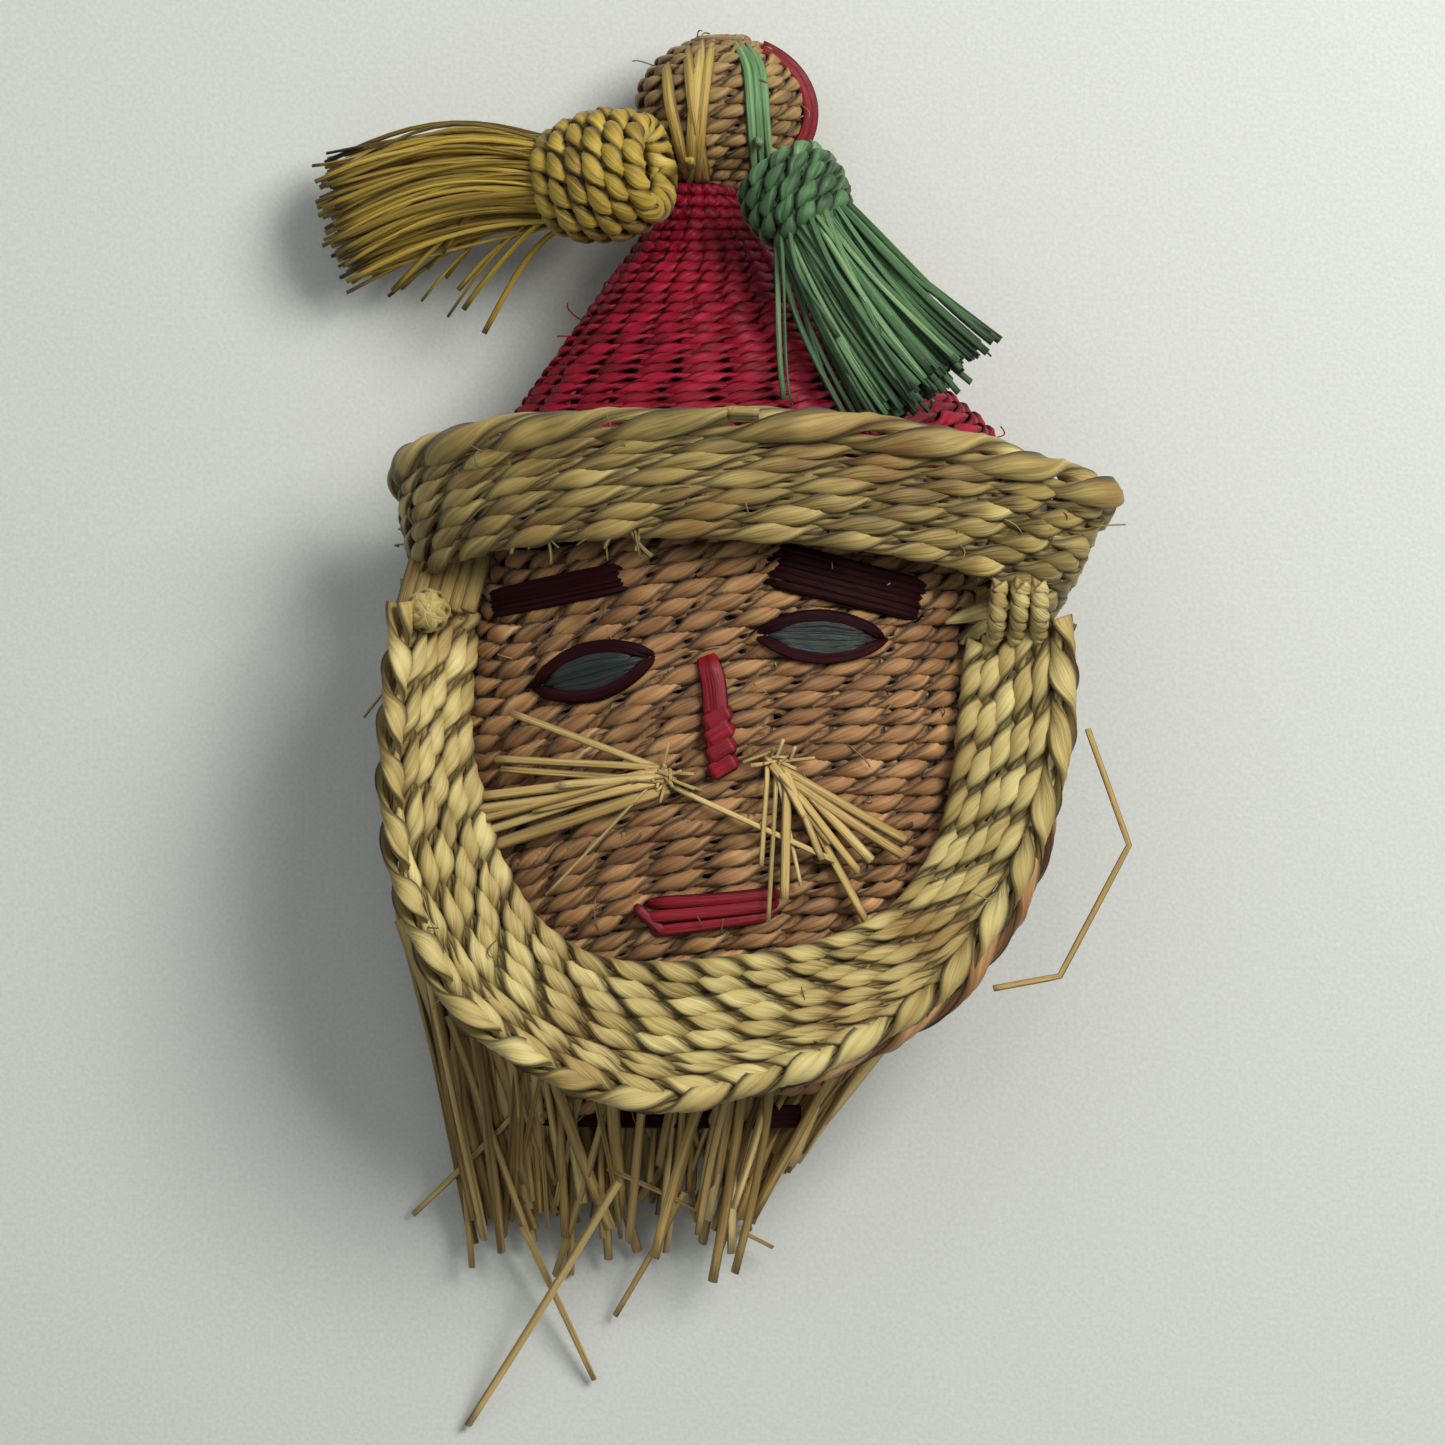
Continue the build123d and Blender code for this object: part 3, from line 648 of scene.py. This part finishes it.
def make_eye(side, centre, length, width, turn):
    angle = np.radians(turn)
    along = vec(np.cos(angle), np.sin(angle))
    square = vec(-along[1], along[0])
    centre = vec(*centre)
    outline = Strands()
    for sign, inset in ((1, 0.2), (-1, 0.2), (1, 0.9), (-1, 0.9)):
        half = width / 2 - inset
        points = []
        for share in np.linspace(-1, 1, 7):
            points.append(centre + along * share * (length / 2 - inset) + square * sign * half * (1 - share**2))
        sewn(outline, points, 0.75, 0.8, 0.7, 0.5 + 0.1 * random.normal())
    outline.piece(f"{side}_eye_rim", MAROON, "bast_maroon", "figure", f"{side}_eye_outline")
    iris = Strands()
    for k in range(5):
        shift = (k - 2) * 1.2
        reach = length / 2 - 1.8 - 0.9 * abs(k - 2)
        points = [centre - along * reach + square * shift * 0.5, centre + square * shift,
                  centre + along * reach + square * shift * 0.4]
        sewn(iris, points, 0.85, 0.5, 0.9, 0.45 + 0.25 * random.normal())
    iris.piece(f"{side}_eye_strands", TEAL, "bast_teal", "figure", f"{side}_iris")


def make_features():
    for side, start, end, width in (("left", (-36.8, 18.0), (-14.6, 22.6), 4.4),
                                    ("right", (7.2, 24.6), (31.6, 18.2), 6.4)):
        brow = Strands()
        side_by_side(brow, start, end, width, 6, 0.5)
        brow.piece(f"{side}_brow_ribbon", MAROON, "bast_maroon", "figure", f"{side}_brow")
    make_eye("left", (-19.8, 7.8), 20.4, 8.6, 15)
    make_eye("right", (15.1, 13.1), 21.0, 7.8, -2)
    nose = Strands()
    sewn(nose, [(-3.0, 10.6), (-1.6, 6.4), (-1.2, -1.0), (-0.2, -8.4)], 1.8, 0.5, 0.9)
    sewn(nose, [(-2.2, 10.8), (-0.8, 6.4), (-0.4, 1.0), (0.4, -8.2)], 1.5, 0.5, 1.1, 0.4)
    for k in range(4):
        y = 1.0 - 2.5 * k
        x = -1.5 + 0.12 * (6.5 - y)
        sewn(nose, [(x - 2.0, y - 1.4), (x + 0.1, y), (x + 2.0, y + 1.0)], 1.5, 0.35, 1.3, 0.55, 1.4)
    nose.piece("nose_ribbon", SCARLET, "bast_crimson", "figure", "nose_stitch")
    mouth = Strands()
    for k in range(3):
        y = -26.8 - 1.7 * k
        points = [(-13.4 + 1.6 * abs(k - 1), y - 1.6 - 0.5 * (k - 1)), (0.0, y - 0.4), (9.8 - 0.8 * k, y + 0.7)]
        sewn(mouth, points, 1.05, 0.6, 0.8 + 0.3 * (k == 1), 0.5 + 0.15 * random.normal())
    sewn(mouth, [(-13.4, -28.2), (-11.4, -30.0), (-8.6, -32.6)], 0.9, 0.6, 1.0, 0.3)
    mouth.piece("mouth_strands", SCARLET, "bast_crimson", "figure", "mouth_stitches")


def straw(strands, start, end, radius, bend=0.4, flat=0.75, tone=0.5, count=9, kink=None):
    """A cut straw between two points, slightly bowed, a little flattened."""
    start, end = vec(*start), vec(*end)
    share = np.linspace(0, 1, count)[:, None]
    line = start + (end - start) * share
    bow = unit(random.normal(size=3)) * bend
    line = line + bow * np.sin(np.pi * share)
    if kink is not None:
        line = line + vec(*kink) * np.clip(1 - np.abs(share - 0.55) / 0.45, 0, 1)
    line[:, 2] = np.maximum(line[:, 2], radius + FLOOR_GAP)
    up = unit(random.normal(size=3))
    taper = radius * (1 - 0.25 * share[:, 0] * random.uniform())
    strands.tube(line, np.broadcast_to(up, line.shape), taper, taper * flat, tone, 6, 0.08)


MOUSTACHE = {
    "left": ((-8.6, -8.2), [(-31.0, 1.4, 0.55), (-34.0, -5.6, 0.6), (-33.0, -7.2, 0.5), (-36.0, -11.4, 0.8),
                            (-37.0, -13.6, 0.75), (-36.6, -15.2, 0.8), (-36.4, -17.2, 0.7),
                            (-35.2, -19.4, 0.9), (-24.0, -9.6, 0.6), (-28.0, -13.4, 0.7),
                            (16.6, -21.2, 0.45), (-26.0, -26.5, 0.3)]),
    "right": ((8.4, -6.2), [(6.6, -30.6, 0.4), (9.0, -27.0, 0.7), (11.6, -25.0, 0.35), (21.2, -30.4, 0.65),
                            (26.8, -18.0, 0.7), (26.4, -20.4, 0.7), (20.0, -22.8, 0.8), (12.0, -14.4, 0.6),
                            (22.0, -21.2, 0.7), (16.0, -18.4, 0.75), (5.6, -22.0, 0.35), (14.6, -21.0, 0.5)]),
}


def make_moustache():
    for side, (root, tips) in MOUSTACHE.items():
        strands = Strands()
        for x, y, radius in tips:
            begin = vec(*root) + random.normal(size=2) * (1.2, 1.0)
            share = np.linspace(0, 1, 12)
            spot = begin + (vec(x, y) - begin) * share[:, None]
            lift = -0.2 + 2.0 * np.clip(share * 6, 0, 1) + random.uniform(0.2, 1.8) * share
            path, normal = HEAD.front(spot[:, 0], spot[:, 1], lift)
            tone = 0.6 + 0.15 * random.normal()
            strands.tube(path, unit(normal + 0.4 * random.normal(size=3)), 1.15 * radius, radius * 0.6, tone, 6)
        for _ in range(16):
            spot = vec(*root) + random.normal(size=(2, 2)) * ((1.2, 1.0), (2.6, 2.0))
            path, normal = HEAD.front(*(np.linspace(*spot, 5).T), np.linspace(0.3, random.uniform(0.8, 2.4), 5))
            strands.tube(path, normal, 0.3, 0.18, 0.6 + 0.2 * random.normal(), 5)
        strands.piece(f"{side}_moustache_straws", BEARD_STRAW, "beard_straw", "figure", f"{side}_moustache")


# ---- straps and tassels -------------------------------------------------------------------------
def over_pompom(strands, points, wide, thick=0.3, tone=0.5):
    """A strand over the front of the pompom through (x, y) points."""
    flat = curve([(x, y, 0.0) for x, y in points], 24)
    path, normal = POMPOM.front(flat[:, 0], flat[:, 1], 0.35)
    strands.tube(path, normal, wide, thick, tone, 8)


def make_straps():
    yellow = Strands()
    for top, low, wide in (((-5.4, 105.6), (-2.6, 84.6), 1.0), ((-3.2, 106.6), (-5.0, 84.4), 1.05),
                           ((-1.6, 106.8), (-3.8, 84.8), 0.85), ((-8.6, 102.6), (-5.6, 86.0), 1.1)):
        middle = ((top[0] + low[0]) / 2 - 0.5 + random.normal() * 0.3, 96.5)
        over_pompom(yellow, [top, middle, low], wide, 0.35, 0.6 + 0.12 * random.normal())
    yellow.piece("yellow_strands", PALE_YELLOW, "bast_yellow", "figure", "yellow_strap")
    green = Strands()
    for k in range(3):
        shift = (k - 1) * 1.15
        points = [(2.6 + 0.7 * shift, 106.6), (5.2 + shift, 102.4), (6.0 + shift, 86.6)]
        over_pompom(green, points, 0.78, 0.4, 0.5 + 0.12 * random.normal())
    green.piece("green_strands", GREEN, "bast_green", "figure", "green_strap")
    crimson = Strands()
    for shift in (0.0, 0.9):
        turn = np.radians(np.linspace(64, -40, 26))
        x = (14.2 - shift) * np.cos(turn)
        y = 95.6 + (11.8 - shift) * np.sin(turn)
        path = np.stack([x, y, POMPOM.at(95.0)[2] + 2.2 + 2.4 * shift + 0 * x], 1)
        crimson.tube(path, np.broadcast_to(vec(0, 0, 1.0), path.shape), 0.8, 0.5, 0.55, 8)
    crimson.piece("crimson_strands", SCARLET, "bast_crimson", "figure", "crimson_strap")


def joint_point(name):
    for joint in frame["joints"]:
        if joint["name"] == name:
            return np.array(joint["pos_m"]) / MM
    raise SystemExit(f"no joint {name}")


class Tassel:
    """A tassel's line, the profile of its knob and the size of its fringe, from the CAD nodes."""

    def __init__(self, colour):
        self.pivot = joint_point(f"{colour}_lift")
        fringe = corners(f"{colour}_fringe")
        reach = np.linalg.norm(fringe - self.pivot, axis=1)
        tip = fringe[reach > reach.max() * 0.94]
        self.end = (tip.max(axis=0) + tip.min(axis=0)) / 2
        self.along = unit(self.end - self.pivot)
        self.side = unit(np.cross(vec(0, 0, 1), self.along))
        self.top = np.cross(self.along, self.side)
        self.length = np.linalg.norm(self.end - self.pivot)
        spread = np.abs((tip - self.end) @ np.stack([self.side, self.top], 1))
        self.wide, self.thick = spread.max(axis=0)
        knob = corners(f"{colour}_knob") - self.pivot
        height = knob @ self.along
        radius = np.linalg.norm(knob - height[:, None] * self.along, axis=1)
        levels = np.unique(height.round(1))
        widest = [radius[np.abs(height - level) < 0.1].max() for level in levels]
        outer = np.array([(l, r) for l, r in zip(levels, widest)])
        self.levels = np.linspace(levels[0], levels[-1], 60)
        self.radii = smooth(np.interp(self.levels, outer[:, 0], outer[:, 1]), 5)
        self.mouth = levels[-1]

    def point(self, distance, across, upward):
        return self.pivot + self.along * distance + self.side * across + self.top * upward

    def knob_grid(self, rows, count, inset):
        angle = -np.pi / 2 + np.linspace(0, 2 * np.pi * 1.03, count)
        grid = []
        for row in range(rows):
            at = self.levels[0] + 2.2 + (row + 0.5) / rows * (self.mouth - self.levels[0] - 2.6)
            radius = np.interp(at, self.levels, self.radii) - inset
            ring = self.pivot + self.along * at
            grid.append(ring + np.outer(radius * np.cos(angle), self.side) + np.outer(radius * np.sin(angle), self.top))
        return np.array(grid)


def fringe_strand(tassel, strands, radius, flat, spread, bow, fall):
    """One fibre of a fringe, from inside the knob's mouth to near the cut end."""
    angle = random.uniform(0, 2 * np.pi)
    share = np.sqrt(random.uniform())
    near = 0.92 * np.interp(tassel.mouth, tassel.levels, tassel.radii)
    start = tassel.point(tassel.mouth - 3.0, near * share * np.cos(angle), near * share * np.sin(angle))
    stray = random.uniform() < 0.06
    reach = random.uniform(0.7, 0.98) if stray else random.normal(1.0, 0.025)
    far = share * (np.cos(angle) + spread * random.normal()) * tassel.wide
    high = share * (np.sin(angle) + 0.7 * spread * random.normal()) * tassel.thick * 0.9
    high = max(high, -0.6 * tassel.thick)
    end = tassel.point(tassel.length * reach, far, high)
    if stray:
        end = end + vec(*fall) * random.uniform(0.4, 1.2)
    line = np.linspace(0, 1, 12)[:, None]
    swing = np.sin(np.pi * line)
    path = start + (end - start) * line + vec(*bow) * random.normal(1.0, 0.35) * swing
    path = path + random.normal() * unit(random.normal(size=3)) * swing * np.cos(2 * line)
    path[:, 2] = np.maximum(path[:, 2], radius + FLOOR_GAP)
    up = np.broadcast_to(unit(random.normal(size=3) + vec(0, 0, 1.2)), path.shape)
    shade = 0.5 + 0.22 * random.normal() - 0.45 * line[:, 0] ** 6
    strands.tube(path, up, radius, radius * flat, shade, 5, 0.0)


def make_tassel(colour, knob_finish, fringe_finish, rows, stitches, number, radius, flat, spread, bow, fall):
    tassel = Tassel(colour)
    body = f"{colour}_tassel"
    slot = f"bast_{colour}"
    strands = Strands()
    grid = tassel.knob_grid(rows, 92, 1.9)
    weave(strands, grid, stitches, slant=1, outward=-1, drift=0.35, flat=0.95)
    strands.piece(f"{colour}_knob_rows", knob_finish, slot, body, f"{colour}_knob")
    strands = Strands()
    for _ in range(number):
        fringe_strand(tassel, strands, radius * random.uniform(0.7, 1.25), flat, spread, bow, fall)
    strands.piece(f"{colour}_fringe_fibres", fringe_finish, slot, body, f"{colour}_fringe")
    strands = Strands()
    foot = POMPOM.front(tassel.pivot[0], tassel.pivot[1], 1.9)[0]
    foot[:2] = tassel.pivot[:2]
    for k in range(5):
        offset = random.normal(size=3) * 0.35
        tip = tassel.pivot + offset
        straw(strands, foot + offset, tip, 0.8, 0.2, 0.7, 0.5 + 0.1 * random.normal())
    strands.piece(f"{colour}_neck_strands", knob_finish, slot, f"{colour}_neck_body", f"{colour}_neck")
    return tassel


# ---- beard, ties and strays ---------------------------------------------------------------------
def make_neck_binding():
    low, high = (np.array(corner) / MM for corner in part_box("neck_binding"))
    middle, half = (low + high) / 2, (high - low) / 2
    strands = Strands()
    turn = np.linspace(0, 2 * np.pi * 2.6, 150)
    x = middle[0] + (half[0] - 0.8) * np.cos(turn)
    z = np.maximum(middle[2] + (half[2] - 0.8) * np.sin(turn), 1.0)
    y = np.linspace(low[1] + 0.5, high[1] - 0.5, len(turn))
    path = np.stack([x, y, z], 1)
    up = unit(np.stack([np.cos(turn), 0 * turn, np.sin(turn)], 1))
    strands.tube(path, up, 0.9, 0.6, 0.5, 8)
    strands.piece("neck_binding_strand", MAROON, "bast_maroon", "figure", "neck_binding")


# roots and tips of the bunches under the chin: x, y and z of each end of a row of roots, then of tips
BUNCHES = {
    "left": dict(roots=((-50, -28, 13), (-24, -48, 22)), tips=((-39, -78, 3), (-24, -73, 6)), number=96, spill=2.4),
    "middle": dict(roots=((-30, -48, 23), (10, -50, 22)), tips=((-26, -72, 6), (0, -76, 8)), number=84, spill=4.6),
    "right": dict(roots=((18, -44, 14), (38, -36, 20)), tips=((3, -76, 5), (19, -58, 8)), number=34, spill=1.8),
}


def make_beard():
    for side, bunch in BUNCHES.items():
        strands = Strands()
        (root_a, root_b), (tip_a, tip_b) = bunch["roots"], bunch["tips"]
        for _ in range(bunch["number"]):
            share = random.uniform()
            root = vec(*root_a) + (vec(*root_b) - vec(*root_a)) * share
            tip_share = np.clip(share + 0.2 * random.normal(), -0.05, 1.05)
            tip = vec(*tip_a) + (vec(*tip_b) - vec(*tip_a)) * tip_share
            tip += random.normal(size=3) * (0.5, 1.3, 0.9) * bunch["spill"]
            root += random.normal(size=3) * (1.0, 1.5, 3.0)
            tone = 0.45 + 0.2 * random.normal()
            straw(strands, root, tip, random.uniform(0.6, 1.3), 0.9, 0.6, tone, 10)
        strands.piece(f"beard_{side}_straws", BEARD_STRAW, "beard_straw", "figure", f"beard_straw_{side}")
    strays = Strands()
    straw(strays, (-43, -46, 16), (-31, -80, 8), 0.7, 0.5, 0.7, 0.6)
    straw(strays, (-31.6, -79.4, 8.2), (-20.4, -104.2, 1.4), 0.85, 0.4, 0.7, 0.6)
    straw(strays, (-16.4, -72.0, 16), (-40.4, -111.4, 1.4), 0.9, 0.5, 0.7, 0.65, 12)
    straw(strays, (-33.0, -62.0, 12), (-49.0, -78.0, 2.0), 0.6, 0.5, 0.7, 0.6)
    straw(strays, (-18.0, -70.0, 14), (8.0, -83.0, 5.0), 0.6, 0.5, 0.7, 0.5)
    straw(strays, (-6.0, -74.0, 10), (-17.0, -94.0, 2.0), 0.65, 0.5, 0.7, 0.55)
    strays.piece("long_stray_straws", BEARD_STRAW, "beard_straw", "figure", "long_straws")
    cheek = Strands()
    straw(cheek, (-50.6, -8.0, 12), (-50.0, 22.6, 13.4), 0.8, 0.3, 0.7, 0.35)
    straw(cheek, (-49.4, -8.0, 9), (-52.6, 5.6, 9), 0.3, 0.3, 0.7, 0.5)
    straw(cheek, (-56.6, 0.8, 8), (-52.6, 5.6, 9), 0.3, 0.2, 0.7, 0.5)
    cheek.piece("cheek_straws", BEARD_STRAW, "beard_straw", "figure", "cheek_straw")
    fibre = Strands()
    bends = [(56.4, -1.0, 33.0), (63.0, -19.0, 29.0), (52.4, -39.4, 26.0), (42.0, -41.2, 29.0)]
    path = np.concatenate([np.linspace(a, b, 7)[:-1] for a, b in zip(bends, bends[1:])] + [[bends[-1]]])
    fibre.tube(path, np.broadcast_to(vec(0.2, 0.1, 1.0), path.shape), 0.5, 0.25, 0.45, 6)
    fibre.piece("stray_fibre_strand", BEARD_STRAW, "beard_straw", "figure", "stray_fibre")


def make_temples():
    low, high = (np.array(corner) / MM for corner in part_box("temple_knot"))
    middle, radius = (low + high) / 2, (high[0] - low[0]) / 2
    knot = Strands()
    for k in range(7):
        tilt = np.radians(51.0 * k)
        normal = unit(vec(0.9 * np.cos(tilt), 0.9 * np.sin(tilt), 0.6))
        first = unit(np.cross(normal, vec(0.3, 1, 0.1)))
        second = np.cross(normal, first)
        turn = np.linspace(0, 2 * np.pi, 22)
        ring = np.outer(np.cos(turn), first) + np.outer(np.sin(turn), second)
        path = middle + ring * (radius - 0.5) + normal * 0.9
        knot.tube(path, ring, 1.25, 0.9, 0.5 + 0.15 * random.normal(), 8)
    for k in range(6):
        start = middle + (2.0 * k - 4.0, 0.0, -4.0)
        end = middle + (2.0 * k - 1.6, 9.0, -9.0)
        path = np.linspace(start, end, 6)
        knot.tube(path, np.broadcast_to(vec(0, -0.2, 1.0), path.shape), 1.35, 0.8, 0.35 + 0.15 * random.normal(), 8)
    knot.piece("temple_knot_wraps", STRAW, "straw", "figure", "temple_knot")
    low, high = (np.array(corner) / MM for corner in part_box("temple_ties"))
    ties = Strands()
    for k in range(3):
        x = low[0] + 1.1 + 3.2 * k
        line = curve([(x, low[1] - 1.0, low[2]), (x + 0.3, (low[1] + high[1]) / 2, high[2] - 1.5),
                      (x + 0.2, high[1] + 2.0, high[2])], 40)
        rise = unit(np.gradient(line, axis=0))
        normal = unit(np.cross(vec(1, 0, 0), rise))
        phase = np.linspace(0, 5 * np.pi, 40)
        across = unit(np.cross(normal, rise))
        twine(ties, line, normal, across, phase, np.full(40, 2.5), 1, 0.9, 0.6)
    for end in ((33.6, 15.4), (36.0, 12.2)):
        spots = np.linspace((41.5, 18.5), end, 9)
        path, normal = HEAD.front(spots[:, 0], spots[:, 1], np.linspace(3.2, 1.2, 9))
        ties.tube(path, normal, 1.5 * np.sin(np.pi * np.linspace(0.25, 0.93, 9)), 0.4, 0.6)
    ties.piece("temple_tie_cords", STRAW, "straw", "figure", "temple_ties")


# ---- surroundings -------------------------------------------------------------------------------
def make_floor():
    mesh = bpy.data.meshes.new("floor")
    half = 1.5
    mesh.from_pydata([(-half, -half, 0), (half, -half, 0), (half, half, 0), (-half, half, 0)], [], [(0, 1, 2, 3)])
    floor = bpy.data.objects.new("floor", mesh)
    bpy.context.scene.collection.objects.link(floor)
    finish = bpy.data.materials.new("pale_board")
    finish.use_nodes = True
    tree = finish.node_tree
    shader = tree.nodes["Principled BSDF"]
    shader.inputs["Roughness"].default_value = 0.5
    where = tree.nodes.new("ShaderNodeTexCoord")
    grain = noise_node(tree, 1600.0, 2.0)
    wire(tree, where, "Object", grain, "Vector")
    tint = ramp_node(tree, [(0.3, linear(192, 194, 188)), (0.7, linear(202, 204, 197))])
    wire(tree, grain, "Fac", tint, "Fac")
    wire(tree, tint, "Color", shader, "Base Color")
    bump = tree.nodes.new("ShaderNodeBump")
    bump.inputs["Strength"].default_value = 0.25
    bump.inputs["Distance"].default_value = 0.0001
    wire(tree, grain, "Fac", bump, "Height")
    wire(tree, bump, "Normal", shader, "Normal")
    mesh.materials.append(finish)


def area_light(name, place, size, power, colour):
    data = bpy.data.lights.new(name, "AREA")
    data.size = size
    data.energy = power
    data.color = colour
    light = bpy.data.objects.new(name, data)
    light.location = place
    light.rotation_euler = (-Vector(place)).to_track_quat("-Z", "Y").to_euler()
    bpy.context.scene.collection.objects.link(light)


def make_surroundings():
    make_floor()
    area_light("window", (0.48, 0.38, 0.72), 0.45, 9.5, (1.0, 0.985, 0.96))
    area_light("room", (-0.5, 0.7, 1.3), 1.2, 4.0, (0.92, 0.96, 1.0))
    world = bpy.data.worlds.new("room")
    world.use_nodes = True
    world.node_tree.nodes["Background"].inputs["Color"].default_value = (0.80, 0.85, 0.86, 1.0)
    world.node_tree.nodes["Background"].inputs["Strength"].default_value = 0.34
    bpy.context.scene.world = world
    bpy.context.scene.view_settings.view_transform = "Standard"


def make_camera():
    data = bpy.data.cameras.new("camera")
    data.lens = CAMERA_LENS
    data.sensor_width = SENSOR
    camera = bpy.data.objects.new("camera", data)
    camera.location = (0.0, 0.0, CAMERA_HEIGHT)
    bpy.context.scene.collection.objects.link(camera)
    bpy.context.scene.camera = camera


def finish_inner_nodes():
    """The pieces inside keep their CAD shape and take a fibre finish."""
    for node, finish in (("head_stakes", STAKE), ("hat_stakes", STAKE),
                         ("head_filling", FILLING), ("pompom_core", FILLING)):
        mesh = frame["nodes"][node].data
        mesh.materials.clear()
        mesh.materials.append(finish)


make_camera()
make_surroundings()
finish_inner_nodes()
make_head()
make_hat()
make_pompom()
make_brim()
make_collar()
make_features()
make_moustache()
make_straps()
make_tassel("yellow", YELLOW, YELLOW_FIBRE, 6, 13, 360, 0.42, 0.7, 0.2, (0, 3.0, 0.8), (5, -12, -2))
make_tassel("green", GREEN, GREEN, 5, 11, 210, 0.6, 0.4, 0.26, (-0.6, -0.8, 0.8), (-9, -2, 1))
make_neck_binding()
make_beard()
make_temples()
